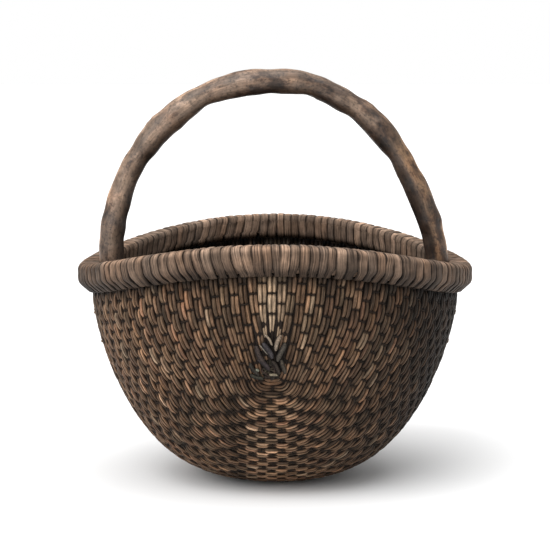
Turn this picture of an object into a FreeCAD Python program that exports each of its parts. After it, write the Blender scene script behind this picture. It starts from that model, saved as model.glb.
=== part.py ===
import FreeCAD, Part
import math
import os

# A willow market basket: a round-bottomed bowl woven from willow rods and hemp cord, a rim made of
# a bent hoop, a splint and a filler rod bound with split willow, and one bent branch as the handle.
# The frame: +Z up, X along the handle's span, Y from front to back, origin under the centre of the
# base on the surface that the basket stands on. All sizes are in millimetres.

# Bowl
BOWL_HALF_X = 200.5  # outer face of the weave at its straight upper wall
BOWL_HALF_Y = 191.5
WALL = 7.2  # thickness of rods and cords woven together
WALL_STRAIGHT_Z = 200.0  # the wall stands upright from here to the rim
BASE_SINK = 1.0  # how far the worn flat base cuts into the round bottom
PROFILE_TURN = 1.35  # how early the side begins to turn under
PROFILE_FULL = 3.0  # how full the lower corner is
PLAN_POWER = 2.1  # 2 is an ellipse, more is squarer
UPPER_HEIGHTS = [135.0, 164.0, 185.0, 200.0, 213.0, 228.0, 243.0, 258.0, 273.0, 293.0]
OUTER_HEIGHTS = [0.0, 1.0, 3.0, 6.0, 12.0, 20.0, 32.0, 50.0, 74.0, 102.0] + UPPER_HEIGHTS
INNER_HEIGHTS = [WALL, 8.2, 10.2, 13.2, 19.0, 27.0, 39.0, 56.0, 79.0, 105.0] + UPPER_HEIGHTS

# Rim: it lies on a cylinder along Y, so its two ends dip where the handle comes in
RIM_TOP_Z = 274.0
RIM_ARC_RADIUS = 560.0
RIM_STATIONS = 48
BINDING = 1.3  # thickness of the split willow strip
STRIPS = 12
TURNS_PER_STRIP = 11
TURN_GAP = 1.5  # the core shows between turns
SLOT_FIT = 0.1
RING_OPENING = 0.004  # radians of plan angle left open at a ring's butt joint

# The rim's section: n is outward from the middle of the wall, h is up from the rim's top
ENVELOPE = [(-6.7, -1.3, 4.5), (17.0, -1.3, 6.0), (17.0, -19.5, 7.0), (5.5, -30.0, 2.5), (-6.7, -23.0, 2.0)]
HOOP = [(3.9, -2.2, 1.0), (16.8, -1.6, 5.8), (16.8, -19.3, 7.0), (6.8, -27.9, 2.0), (3.9, -27.0, 0.6)]
SPLINT = [(-6.5, -4.4, 1.0), (-3.9, -4.4, 0.6), (-3.9, -21.8, 0.6), (-6.5, -21.8, 1.0)]
HOOP_JOINT = math.radians(200)  # where round the plan each rim piece's ends meet
SPLINT_JOINT = math.radians(20)
FILLER_JOINT = math.radians(110)
FILLER_RADIUS = 3.2
FILLER_H = -4.8
WALL_TOP_H = -8.3

# Handle: (x, y, z, diameter) from the left tip, over the top, to the right tip
HANDLE = [
    (-168.0, 0.0, 121.0, 11.0),
    (-174.5, 0.0, 151.0, 18.0),
    (-178.0, 0.0, 185.0, 23.0),
    (-178.8, 0.0, 217.0, 26.0),
    (-180.0, 0.0, 243.0, 26.5),
    (-177.0, 1.0, 280.0, 27.5),
    (-170.5, 2.0, 307.0, 26.5),
    (-158.5, 2.5, 337.0, 24.0),
    (-141.5, 2.0, 364.0, 27.0),
    (-113.0, 0.5, 395.0, 28.0),
    (-94.5, -1.0, 409.0, 27.0),
    (-78.5, -1.5, 419.0, 23.5),
    (-54.5, -2.0, 427.5, 26.5),
    (-30.0, -2.0, 433.0, 28.0),
    (0.0, -1.0, 435.0, 26.5),
    (30.0, 1.0, 433.0, 25.5),
    (44.5, 2.0, 429.5, 22.5),
    (67.0, 3.0, 418.5, 25.5),
    (86.0, 3.0, 407.5, 24.0),
    (113.0, 1.5, 384.0, 28.0),
    (136.5, -0.5, 353.5, 23.5),
    (153.5, -2.0, 322.0, 26.5),
    (166.0, -2.0, 291.0, 26.0),
    (175.0, -1.0, 261.0, 25.5),
    (178.6, 0.0, 233.0, 26.0),
    (178.8, 0.0, 213.0, 25.5),
    (178.0, 0.0, 185.0, 23.0),
    (174.5, 0.0, 151.0, 18.0),
    (168.0, 0.0, 121.0, 11.0),
]
PEG_RADIUS = 3.0
PEG_REACH = (-37.0, 12.5)  # from inside the leg to inside the outer hoop
PEG_H = -13.0
WHITTLE_GAP = 0.25  # between a leg and the wall and rim that it is whittled flat to
WHITTLE_REACH = 0.25  # radians of plan angle each side of a leg where the rim keeps it out

# Lashings: hemp cord round each leg and through the wall
LASHING_HEIGHTS = {"upper": 185.0, "lower": 153.0}
LASHING_TURNS = 3
LASHING_CORD_RADIUS = 1.5
LASHING_PITCH = 3.3
LASHING_CORNER = 5.0  # how tightly the cord bends round the leg
LASHING_SLACK_X = 0.5  # between the cord and the leg's inner face
LASHING_SLACK_Y = 0.6  # between the cord and the leg's sides


def vector(x, y, z):
    return FreeCAD.Vector(x, y, z)


def signed_power(value, power):
    return math.copysign(abs(value) ** power, value)


def plan_point(half_x, half_y, angle, z):
    """A point of the basket's rounded plan outline."""
    x = half_x * signed_power(math.cos(angle), 2.0 / PLAN_POWER)
    y = half_y * signed_power(math.sin(angle), 2.0 / PLAN_POWER)
    return vector(x, y, z)


def plan_wire(half_x, half_y, z, count=32):
    points = [plan_point(half_x, half_y, 2 * math.pi * i / count, z) for i in range(count)]
    curve = Part.BSplineCurve()
    curve.interpolate(Points=points, PeriodicFlag=True)
    return Part.Wire([curve.toShape()])


def fullness(z, lowest):
    """The bowl's half-width at height z, as a share of its width at the upright wall."""
    depth = max(0.0, (WALL_STRAIGHT_Z - z) / (WALL_STRAIGHT_Z - lowest))
    return (1.0 - depth**PROFILE_TURN) ** (1.0 / PROFILE_FULL)


def bowl_body(inset, heights):
    """A solid bowl, inset from the outer face of the weave, up to the last of heights."""
    lowest = inset - BASE_SINK
    wires = []
    for z in heights:
        share = fullness(z, lowest)
        wires.append(plan_wire((BOWL_HALF_X - inset) * share, (BOWL_HALF_Y - inset) * share, z))
    return Part.makeLoft(wires, True, False)


def rim_arc_z(x, drop=0.0):
    """Height of the rim's top at x, lowered by drop."""
    return RIM_TOP_Z - RIM_ARC_RADIUS + math.sqrt(RIM_ARC_RADIUS**2 - x * x) - drop


def above_rim(drop):
    """Everything above the rim's arc, lowered by drop."""
    reach = 260.0
    far = 420.0
    left = vector(-reach, -reach, rim_arc_z(reach, drop))
    middle = vector(0, -reach, rim_arc_z(0, drop))
    right = vector(reach, -reach, rim_arc_z(reach, drop))
    corner_right = vector(reach, -reach, far)
    corner_left = vector(-reach, -reach, far)
    edges = [
        Part.Arc(left, middle, right).toShape(),
        Part.LineSegment(right, corner_right).toShape(),
        Part.LineSegment(corner_right, corner_left).toShape(),
        Part.LineSegment(corner_left, left).toShape(),
    ]
    return Part.Face(Part.Wire(edges)).extrude(vector(0, 2 * reach, 0))


def rim_frame(angle):
    """(point on the rim's top over the middle of the wall, outward direction)."""
    half_x = BOWL_HALF_X - WALL / 2
    half_y = BOWL_HALF_Y - WALL / 2
    step = 1e-4
    before = plan_point(half_x, half_y, angle - step, 0)
    after = plan_point(half_x, half_y, angle + step, 0)
    along = after - before
    outward = vector(along.y, -along.x, 0)
    outward.normalize()
    point = plan_point(half_x, half_y, angle, 0)
    point.z = rim_arc_z(point.x)
    return point, outward


def rim_point(frame, n, h):
    point, outward = frame
    return point + outward * n + vector(0, 0, h)


def rounded_section(frame, corners):
    """The closed outline through corners (n, h, radius), standing across the rim at frame."""
    count = len(corners)
    arcs = []
    for i, (n, h, radius) in enumerate(corners):
        here = vector(n, h, 0)
        back = vector(*corners[i - 1][:2], 0) - here
        on = vector(*corners[(i + 1) % count][:2], 0) - here
        back.normalize()
        on.normalize()
        half = back.getAngle(on) / 2
        reach = radius / math.tan(half)
        bisector = back + on
        bisector.normalize()
        crown = here + bisector * (radius / math.sin(half) - radius)
        arcs.append((here + back * reach, crown, here + on * reach))
    edges = []
    for i, (start, crown, end) in enumerate(arcs):
        place = [rim_point(frame, p.x, p.y) for p in (start, crown, end)]
        edges.append(Part.Arc(*place).toShape())
        following = arcs[(i + 1) % count][0]
        edges.append(Part.LineSegment(place[2], rim_point(frame, following.x, following.y)).toShape())
    return Part.Wire(edges)


def grown(corners, by):
    """The outline moved outward by a distance, with its corner radii grown to match."""
    moved = []
    count = len(corners)
    for i, (n, h, radius) in enumerate(corners):
        here = vector(n, h, 0)
        back = vector(*corners[i - 1][:2], 0) - here
        on = vector(*corners[(i + 1) % count][:2], 0) - here
        back.normalize()
        on.normalize()
        outward = (back + on) * -1
        outward.normalize()
        out = here + outward * (by / math.sin(back.getAngle(on) / 2))
        moved.append((out.x, out.y, radius + by))
    return moved


def open_ring(corners, joint_angle):
    """A hoop bent round the rim, whose two ends meet in a butt joint at joint_angle."""
    span = 2 * math.pi - RING_OPENING
    wires = []
    for i in range(RIM_STATIONS + 1):
        angle = joint_angle + RING_OPENING / 2 + span * i / RIM_STATIONS
        wires.append(rounded_section(rim_frame(angle), corners))
    return Part.makeLoft(wires, True, False)


def filler_rod(joint_angle):
    span = 2 * math.pi - RING_OPENING
    wires = []
    for i in range(RIM_STATIONS + 1):
        frame = rim_frame(joint_angle + RING_OPENING / 2 + span * i / RIM_STATIONS)
        centre = rim_point(frame, 0, FILLER_H)
        along = frame[1].cross(vector(0, 0, 1))
        wires.append(Part.Wire([Part.makeCircle(FILLER_RADIUS, centre, along)]))
    return Part.makeLoft(wires, True, False)


def rim_angles(count):
    """count + 1 plan angles that divide the rim into equal lengths."""
    fine = 4000
    places = [rim_frame(2 * math.pi * i / fine)[0] for i in range(fine + 1)]
    run = [0.0]
    for before, after in zip(places, places[1:]):
        run.append(run[-1] + (after - before).Length)
    angles = []
    i = 0
    for k in range(count + 1):
        goal = run[-1] * k / count
        while i < fine and run[i + 1] < goal:
            i += 1
        share = (goal - run[i]) / (run[i + 1] - run[i]) if i < fine else 0.0
        angles.append(2 * math.pi * (i + share) / fine)
    return angles


def binding_turn(start, end):
    """One turn of split willow round the rim, between two plan angles."""
    frames = [rim_frame(start), rim_frame(end)]
    outer = Part.makeLoft([rounded_section(f, grown(ENVELOPE, BINDING)) for f in frames], True, True)
    inner = Part.makeLoft([rounded_section(f, ENVELOPE) for f in frames], True, True)
    return outer.cut(inner)


def binding_slot(start, end):
    """The way between the rods that a turn passes through the wall by."""
    first = rim_frame(start)
    last = rim_frame(end)
    lower = grown(ENVELOPE, BINDING + SLOT_FIT)[3:5]
    upper = grown(ENVELOPE, -SLOT_FIT)[3:5]
    corners = [rim_point(first, c[0], c[1]) for c in (lower[0], lower[1], upper[1], upper[0])]
    along = last[0] - first[0]
    spare = along.normalize() * SLOT_FIT
    outline = Part.makePolygon([corner - spare for corner in corners + corners[:1]])
    return Part.Face(outline).extrude(last[0] - first[0] + spare * 2)


def handle_loft():
    """The bent branch, round in section, with its own swellings and thin places."""
    points = [vector(*station[:3]) for station in HANDLE]
    wires = []
    for i, station in enumerate(HANDLE):
        before = points[max(0, i - 1)]
        after = points[min(len(points) - 1, i + 1)]
        wires.append(Part.Wire([Part.makeCircle(station[3] / 2, points[i], after - before)]))
    return Part.makeLoft(wires, True, False)


def keep_out():
    """The space that the wall and the rim take, so that the handle's legs are whittled flat to it."""
    inset = WALL + WHITTLE_GAP
    hollow = bowl_body(inset, [inset] + INNER_HEIGHTS[2:])
    half = 250.0
    height = 260.0
    block = Part.makeBox(2 * half, 2 * half, height, vector(-half, -half, 0))
    wall = block.cut(hollow).cut(above_rim(0.0))
    section = grown(ENVELOPE, BINDING + WHITTLE_GAP)
    stations = 4
    rims = []
    for side in (0.0, math.pi):
        frames = [rim_frame(side + WHITTLE_REACH * i / stations) for i in range(-stations, stations + 1)]
        rims.append(Part.makeLoft([rounded_section(f, section) for f in frames], True, False))
    return wall.fuse(rims)


def leg_at(z):
    """The handle station of a leg that is nearest to height z, as (distance from the middle, radius)."""
    x, _, _, diameter = min(HANDLE[: len(HANDLE) // 2], key=lambda station: abs(station[2] - z))
    return abs(x), diameter / 2


def lashing_loop(side, z):
    """One turn of cord round a leg and through the wall, as a rounded rectangle lying flat."""
    leg_x, leg_radius = leg_at(z)
    r = LASHING_CORD_RADIUS
    corner = LASHING_CORNER
    outer = BOWL_HALF_X * fullness(z, -BASE_SINK) - r / 2
    inner = leg_x - leg_radius - r - LASHING_SLACK_X
    half_y = leg_radius + r + LASHING_SLACK_Y
    cut = corner * (1 - math.sqrt(0.5))
    arcs = []
    for sx, sy in ((1, 1), (-1, 1), (-1, -1), (1, -1)):
        x = outer if sx > 0 else inner
        y = sy * half_y
        in_y = vector(side * x, y - sy * corner, z)
        crown = vector(side * (x - sx * cut), y - sy * cut, z)
        in_x = vector(side * (x - sx * corner), y, z)
        arcs.append((in_y, crown, in_x) if sx * sy > 0 else (in_x, crown, in_y))
    edges = []
    for i, (start, crown, end) in enumerate(arcs):
        edges.append(Part.Arc(start, crown, end).toShape())
        edges.append(Part.LineSegment(end, arcs[(i + 1) % 4][0]).toShape())
    first = arcs[0][2]
    profile = Part.Wire([Part.makeCircle(r, first, arcs[1][0] - first)])
    return Part.Wire(edges).makePipeShell([profile], True, False)


def lashing(side, z):
    offsets = [(i - (LASHING_TURNS - 1) / 2) * LASHING_PITCH for i in range(LASHING_TURNS)]
    return [lashing_loop(side, z + offset) for offset in offsets]


def peg(side):
    """The wooden peg driven through a leg, the splint and the wall into the outer hoop."""
    x, _, z = rim_point(rim_frame(0.0), PEG_REACH[0], PEG_H)
    length = PEG_REACH[1] - PEG_REACH[0]
    return Part.makeCylinder(PEG_RADIUS, length, vector(side * x, 0, z), vector(side, 0, 0))


def build():
    nodes = {}
    pins = [peg(side) for side in (-1, 1)]
    bowl = bowl_body(0.0, OUTER_HEIGHTS).cut(bowl_body(WALL, INNER_HEIGHTS)).cut(above_rim(-WALL_TOP_H))

    angles = rim_angles(STRIPS * TURNS_PER_STRIP)
    trim = TURN_GAP / 2 / BOWL_HALF_X
    slots = []
    for strip in range(STRIPS):
        turns = []
        for turn in range(TURNS_PER_STRIP):
            k = strip * TURNS_PER_STRIP + turn
            start = angles[k] + trim
            end = angles[k + 1] - trim
            full_turn = binding_turn(start, end)
            crossing = [pin for pin in pins if full_turn.BoundBox.intersect(pin.BoundBox)]
            turns.append(full_turn.cut(crossing) if crossing else full_turn)
            slots.append(binding_slot(start, end))
        nodes[f"rim_binding_strip_{strip + 1:02d}"] = turns
    nodes["rim_outer_hoop"] = [open_ring(HOOP, HOOP_JOINT).cut(pins)]
    nodes["rim_inner_splint"] = [open_ring(SPLINT, SPLINT_JOINT).cut(pins)]
    nodes["rim_filler_rod"] = [filler_rod(FILLER_JOINT)]
    nodes["handle_branch"] = [handle_loft().cut(keep_out()).cut(pins)]

    cords = []
    for name, side, pin in (("left", -1, pins[0]), ("right", 1, pins[1])):
        nodes[f"handle_peg_{name}"] = [pin]
        for level, z in LASHING_HEIGHTS.items():
            turns = lashing(side, z)
            nodes[f"handle_lashing_{name}_{level}"] = turns
            cords += turns
    nodes["woven_bowl"] = [bowl.cut(slots + cords + pins)]
    return nodes


def main():
    os.makedirs("parts", exist_ok=True)
    for name, solids in build().items():
        flat = [solid for shape in solids for solid in shape.Solids]
        shape = flat[0] if len(flat) == 1 else Part.makeCompound(flat)
        shape.exportStep(f"parts/{name}.step")
        print(f"{name}: {len(flat)} solids, valid {shape.isValid()}, volume {shape.Volume / 1000:.1f} cm3")


main()
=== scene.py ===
import math

import bpy
import numpy as np
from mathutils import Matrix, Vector


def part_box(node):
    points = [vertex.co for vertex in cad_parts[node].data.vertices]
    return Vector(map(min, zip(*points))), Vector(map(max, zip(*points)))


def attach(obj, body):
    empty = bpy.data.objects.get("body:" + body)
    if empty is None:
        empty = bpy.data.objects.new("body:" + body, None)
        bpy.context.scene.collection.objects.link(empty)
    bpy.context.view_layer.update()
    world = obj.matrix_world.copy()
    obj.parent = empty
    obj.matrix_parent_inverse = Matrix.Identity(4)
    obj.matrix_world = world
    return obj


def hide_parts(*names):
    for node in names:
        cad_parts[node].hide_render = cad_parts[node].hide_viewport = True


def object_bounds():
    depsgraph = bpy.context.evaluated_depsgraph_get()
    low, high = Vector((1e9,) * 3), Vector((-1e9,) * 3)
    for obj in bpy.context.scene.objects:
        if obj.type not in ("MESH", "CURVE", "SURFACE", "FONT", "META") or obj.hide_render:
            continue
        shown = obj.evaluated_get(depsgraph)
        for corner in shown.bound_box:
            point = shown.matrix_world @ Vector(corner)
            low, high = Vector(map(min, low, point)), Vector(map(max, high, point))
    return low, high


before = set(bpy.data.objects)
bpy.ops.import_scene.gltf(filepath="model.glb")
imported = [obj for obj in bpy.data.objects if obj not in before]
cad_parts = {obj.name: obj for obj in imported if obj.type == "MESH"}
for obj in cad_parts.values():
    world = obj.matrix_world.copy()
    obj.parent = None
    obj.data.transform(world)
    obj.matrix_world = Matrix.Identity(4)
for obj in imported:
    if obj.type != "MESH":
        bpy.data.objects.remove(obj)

CAD_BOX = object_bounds()
MM = 0.001
DOWN = np.array([0.0, 0.0, -1.0])

# ---- the bowl's shape, as in the CAD
WALL = 7.2 * MM
WALL_STRAIGHT_Z = 200.0 * MM
BASE_SINK = 1.0 * MM
PROFILE_TURN = 1.35
PROFILE_FULL = 3.0
PLAN_POWER = 2.1
RIM_ARC_RADIUS = 560.0 * MM
WALL_TOP_H = -8.8 * MM  # the weave's top edge, below the rim's top
BOWL_HALF_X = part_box("woven_bowl")[1][0]
BOWL_HALF_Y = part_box("woven_bowl")[1][1]
STRIP_NODES = sorted(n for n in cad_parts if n.startswith("rim_binding_strip"))
RIM_TOP_Z = max(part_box(n)[1][2] for n in STRIP_NODES)

# ---- the weave
SPINS = (np.ones(3), np.array([-1.0, -1.0, 1.0]))  # the back's weave is the front's, turned half round
PAIRS = 32  # rod pairs between the middle column and the side
STOPPED = 2  # pairs each side of the middle column that end at the knot
POLE_Z = 145.0 * MM  # where the rods turn round the knot, on the front and on the back
POLE_X = -3.0 * MM
KNOT_SHARE = 0.034  # the knot's half-width, as a share of the way to the side
CORD_PITCH = 10.45 * MM
FIRST_ROW = 0.21  # where the first row lies, in cord pitches
ROW_DROP = 4.0 * MM  # how much lower the rows lie at the sides than along the rim
TURN_POWER = 2.15  # how square the turns round the pole are
FLAT_HALF = 15.0 * MM  # half the width of the straight stretch that each turn has under the pole
FACE_DEPTH = 270.0 * MM  # from the pole down to the middle of the base, along the wall
BULGE = 0.85 * MM  # how far a rod swings out and in between cords
PAIR_WIDTHS = (5.6 * MM, 12.4 * MM)  # the narrowest and the widest that a pair gets
ROD_RADII = (1.3 * MM, 2.9 * MM)
STEP = 1.6 * MM  # spacing of a rod's sections
ROD_SIDES = 10
CORD_RADIUS = 0.8 * MM
CORD_REACH = 0.54  # how far a stitch reaches from the middle of its pair, as a share of the pair's width
CORD_SECTIONS = 7
CORD_SIDES = 5
FILLER_RADIUS = 1.1 * MM
FILLER_SIDES = 6
STRAND_SIDES = 7
END_SIDES = 9
STOPPED_CLIMBS = (0.31, 0.3, 0.1)  # climb at which the middle column and the stopped pairs end
LEAN_RATE = 5.0  # how steeply the rods still lean inward where they pass the pole's level
LEAN_TURN = 0.25  # radians of turn over which that lean dies away
RIM_SHADOW = (28 * MM, 18 * MM)  # where the painted shadow under the rim starts to thin out, and over what length
GRAIN_SPREAD = 50  # each piece takes its grain from its own place within this range


def fullness(z, inset):
    """The bowl's half-width at height z, as a share of its width at the upright wall."""
    depth = np.clip((WALL_STRAIGHT_Z - z) / (WALL_STRAIGHT_Z - (inset - BASE_SINK)), 0.0, 1.0)
    return (1.0 - depth**PROFILE_TURN) ** (1.0 / PROFILE_FULL)


def rim_arc_z(x):
    """Height of the rim's top at x."""
    return RIM_TOP_Z - RIM_ARC_RADIUS + np.sqrt(RIM_ARC_RADIUS**2 - x * x)


def unit(v):
    return v / np.maximum(np.linalg.norm(v, axis=-1, keepdims=True), 1e-12)


def smooth_step(x):
    x = np.clip(x, 0.0, 1.0)
    return x * x * (3.0 - 2.0 * x)


class Bowl:
    """The middle surface of the woven wall, mapped by rods that run round a pole on its front."""

    def __init__(self, inset):
        self.inset = inset
        self.a = BOWL_HALF_X - inset
        self.b = BOWL_HALF_Y - inset
        self.make_plan_table()
        self.make_pole_table()

    def make_plan_table(self):
        self.phi = np.linspace(-math.pi / 2, math.pi / 2, 2001)
        x = self.a * np.sign(np.sin(self.phi)) * np.abs(np.sin(self.phi)) ** (2 / PLAN_POWER)
        y = -self.b * np.abs(np.cos(self.phi)) ** (2 / PLAN_POWER)
        self.run = np.concatenate([[0.0], np.cumsum(np.hypot(np.diff(x), np.diff(y)))])
        self.plan_x = x / self.a
        self.plan_y = y / self.b

    def level(self, p):
        """Below zero inside the rounded wall, above zero outside it."""
        plan = np.abs(p[..., 0] / self.a) ** PLAN_POWER + np.abs(p[..., 1] / self.b) ** PLAN_POWER
        return plan ** (1 / PLAN_POWER) - fullness(p[..., 2], self.inset)

    def inside(self, p):
        return (self.level(p) < 0.0) & (p[..., 2] > self.inset)

    def make_pole_table(self):
        """Points of the front half under the pole's level, by turn round the pole and share of the way."""
        steps_each_way, halvings, longest_ray = 181, 40, 0.4
        theta = np.linspace(0.0, math.pi, steps_each_way)
        eta = np.linspace(0.0, math.pi / 2, steps_each_way)
        t, e = np.meshgrid(theta, eta, indexing="ij")
        direction = np.stack([-np.cos(t) * np.sin(e), -np.cos(e), -np.sin(t) * np.sin(e)], axis=-1)
        centre = np.array([POLE_X, 0.0, POLE_Z])
        low = np.zeros(t.shape)
        high = np.full(t.shape, longest_ray)
        for _ in range(halvings):
            middle = (low + high) / 2
            within = self.inside(centre + direction * middle[..., None])
            low = np.where(within, middle, low)
            high = np.where(within, high, middle)
        points = centre + direction * low[..., None]
        steps = np.linalg.norm(np.diff(points, axis=1), axis=-1)
        run = np.concatenate([np.zeros((len(theta), 1)), np.cumsum(steps, axis=1)], axis=1)
        shares = np.linspace(0.0, 1.0, 241)
        table = np.empty((len(theta), len(shares), 3))
        for i in range(len(theta)):
            for axis in range(3):
                table[i, :, axis] = np.interp(shares, run[i] / run[i, -1], points[i, :, axis])
        self.pole_table = table

    def around(self, theta, share):
        """A point by turn round the pole and share of the way from the pole to the side plane."""
        rows, columns = self.pole_table.shape[:2]
        i = np.clip(theta / math.pi * (rows - 1), 0, rows - 1.001)
        j = np.clip(share * (columns - 1), 0, columns - 1.001)
        i0 = i.astype(int)
        j0 = j.astype(int)
        fi = (i - i0)[..., None]
        fj = (j - j0)[..., None]
        t = self.pole_table
        near = t[i0, j0] * (1 - fj) + t[i0, j0 + 1] * fj
        far = t[i0 + 1, j0] * (1 - fj) + t[i0 + 1, j0 + 1] * fj
        return near * (1 - fi) + far * fi

    def above(self, climb, share, side):
        """A point above the pole's level, by climb from it to the rim and share of the way to the side."""
        start = np.interp(POLE_X / self.a, self.plan_x, self.run)
        end = self.run[-1] if side > 0 else 0.0
        goal = start + share * (end - start)
        ux = np.interp(goal, self.run, self.plan_x)
        uy = np.interp(goal, self.run, self.plan_y)
        x = self.a * ux
        z = POLE_Z
        for _ in range(4):
            z = POLE_Z + climb * (rim_arc_z(x) + WALL_TOP_H - POLE_Z)
            x = self.a * ux * fullness(z, self.inset)
        return np.stack([x, self.b * uy * fullness(z, self.inset), z], axis=-1)

    def normal(self, p):
        """Outward unit normals of the middle surface at points on it."""
        step = 0.2 * MM
        corner = 0.6 * MM
        gradient = np.empty(p.shape)
        for axis in range(3):
            d = np.zeros(3)
            d[axis] = step
            gradient[..., axis] = self.level(p + d) - self.level(p - d)
        flat = smooth_step((self.inset + corner - p[..., 2]) / corner)[..., None]
        return unit(unit(gradient) * (1 - flat) + DOWN * flat)


# ---- smooth seeded variation
class Wander:
    """A smooth random line of a given wavelength: a few sine waves with seeded phases."""

    def __init__(self, rng, wavelength, waves=4):
        self.rates = 2 * math.pi / (wavelength * rng.uniform(0.6, 1.9, waves))
        self.phases = rng.uniform(0, 2 * math.pi, waves)
        self.weights = rng.uniform(0.5, 1.0, waves)
        self.weights /= np.sqrt(np.sum(self.weights**2) / 2)

    def __call__(self, s):
        s = np.asarray(s)[..., None]
        return np.sum(self.weights * np.sin(self.rates * s + self.phases), axis=-1)


# ---- meshes
def set_attributes(mesh, colours, grains):
    """Gives each vertex the tint and the grain coordinates that the materials read."""
    tint = mesh.attributes.new("tint", "FLOAT_COLOR", "POINT")
    rgba = np.concatenate([colours, np.ones((len(colours), 1))], axis=1)
    tint.data.foreach_set("color", rgba.astype(np.float32).ravel())
    grain = mesh.attributes.new("grain", "FLOAT_VECTOR", "POINT")
    grain.data.foreach_set("vector", grains.astype(np.float32).ravel())


class MeshBuilder:
    """Collects vertices, quads and vertex attributes, then makes one mesh object of them."""

    def __init__(self):
        self.points, self.faces, self.colours, self.grains = [], [], [], []
        self.count = 0

    def add(self, points, quads, colours, grains):
        self.points.append(points.reshape(-1, 3))
        self.faces.append(quads.reshape(-1, 4) + self.count)
        self.colours.append(np.broadcast_to(colours, points.shape).reshape(-1, 3))
        self.grains.append(grains.reshape(-1, 3))
        self.count += points.reshape(-1, 3).shape[0]

    def build(self, name, material, nodes):
        """Makes the mesh. A quad whose last two corners are the same vertex is a triangle."""
        points = np.concatenate(self.points)
        points[:, 2] = np.maximum(points[:, 2], 0.0)
        faces = np.concatenate(self.faces)
        flat = faces[:, 2] == faces[:, 3]
        sizes = np.where(flat, 3, 4)
        keep = np.ones(faces.shape, dtype=bool)
        keep[flat, 3] = False
        loops = faces[keep]
        mesh = bpy.data.meshes.new(name)
        mesh.vertices.add(len(points))
        mesh.vertices.foreach_set("co", points.astype(np.float32).ravel())
        mesh.loops.add(len(loops))
        mesh.loops.foreach_set("vertex_index", loops.astype(np.int32))
        mesh.polygons.add(len(faces))
        starts = np.concatenate([[0], np.cumsum(sizes)[:-1]])
        mesh.polygons.foreach_set("loop_start", starts.astype(np.int32))
        mesh.polygons.foreach_set("loop_total", sizes.astype(np.int32))
        mesh.update(calc_edges=True)
        mesh.validate()
        mesh.polygons.foreach_set("use_smooth", np.ones(len(mesh.polygons), dtype=bool))
        set_attributes(mesh, np.concatenate(self.colours), np.concatenate(self.grains))
        mesh.materials.append(material)
        piece = bpy.data.objects.new(name, mesh)
        bpy.context.scene.collection.objects.link(piece)
        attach(piece, "root")
        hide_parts(*nodes)


def tube_quads(sections, sides, closed=False):
    """Quads, and end caps as fans round a ring's first vertex, of a tube of rings."""
    rows = sections if closed else sections - 1
    i = np.arange(rows)[:, None]
    j = np.arange(sides)[None, :]
    here = i * sides
    there = ((i + 1) % sections) * sides
    onward = (j + 1) % sides
    quads = np.stack([here + j, here + onward, there + onward, there + j], axis=-1).reshape(-1, 4)
    if closed:
        return quads
    k = np.arange(1, sides - 1)
    last = (sections - 1) * sides
    start = np.stack([np.zeros_like(k), k + 1, k, k], axis=-1)
    end = np.stack([np.full_like(k, last), last + k, last + k + 1, last + k + 1], axis=-1)
    return np.concatenate([quads, start, end])


def round_angles(sides):
    return 2 * math.pi * np.arange(sides) / sides


def tube_points(path, up, across, radius, sides):
    """Rings of points round a path; up and across are its unit side directions."""
    angle = round_angles(sides)
    ring = np.cos(angle)[None, :, None] * across[:, None, :] + np.sin(angle)[None, :, None] * up[:, None, :]
    return path[:, None, :] + ring * radius[:, None, None]


def tube_grain(angle, reach, place, along):
    """Grain coordinates of a tube: round it in the first and the third, along it in the second."""
    grains = np.empty((len(along), len(angle), 3))
    grains[..., 0] = np.cos(angle) * reach + place
    grains[..., 1] = along[:, None]
    grains[..., 2] = np.sin(angle) * reach
    return grains


def length_along(line):
    """Length along a line of points, at each of them."""
    return np.concatenate([[0.0], np.cumsum(np.linalg.norm(np.diff(line, axis=0), axis=1))])


def interpolate(at, run, line):
    """Points of a line, at given lengths or angles along it."""
    return np.stack([np.interp(at, run, line[:, k]) for k in range(line.shape[1])], axis=-1)


def tangents(path):
    return unit(np.gradient(path, axis=0))


def resample(path, spacing, *others):
    """The path at even spacing, with the other per-point arrays carried along."""
    run = length_along(path)
    count = max(4, int(round(run[-1] / spacing)) + 1)
    at = np.linspace(0.0, run[-1], count)
    results = [interpolate(at, run, path)]
    for other in others:
        results.append(np.interp(at, run, other))
    return at, results


def relax(path, passes):
    """Takes small kinks out of a path, its ends held."""
    path = path.copy()
    for _ in range(passes):
        path[1:-1] = (path[:-2] + 2 * path[1:-1] + path[2:]) / 4
    return path


# ---- colours
def linear(r, g, b):
    """A colour named by its display values, from 0 to 255, as linear light."""
    c = np.array([r, g, b]) / 255.0
    return np.where(c <= 0.04045, c / 12.92, ((c + 0.055) / 1.055) ** 2.4)


def palette(*colours):
    return [linear(*colour) for colour in colours]


ROD_COLOURS = palette((98, 72, 51), (86, 63, 45), (110, 83, 62), (75, 55, 40), (95, 67, 49), (83, 65, 48))
ROD_PALE = linear(168, 145, 120)
CREST_WEAR_AND_HIGHLIGHT = np.array([0.033, 0.026, 0.0195])  # the rods are paler along their crests: partly wear and partly a painted highlight
INSIDE_SHADE = 0.4  # painted shade: the rods' faces inside the basket are darkened
# painted shade: the colour of the dark strands in the grooves and behind the open wall
FILLER_SHADE_COLOUR = linear(27, 20, 15)
CORD_COLOUR = linear(35, 26, 19)
KNOT_COLOURS = palette((58, 52, 42), (44, 38, 32), (70, 64, 50), (52, 41, 36))


# ---- materials
def make_material(name):
    material = bpy.data.materials.new(name)
    material.use_nodes = True
    tree = material.node_tree
    tree.nodes.clear()
    output = tree.nodes.new("ShaderNodeOutputMaterial")
    shader = tree.nodes.new("ShaderNodeBsdfPrincipled")
    tree.links.new(shader.outputs["BSDF"], output.inputs["Surface"])
    return material, tree, shader


def node(tree, kind, **values):
    made = tree.nodes.new(kind)
    for key, value in values.items():
        setattr(made, key, value)
    return made


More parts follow.
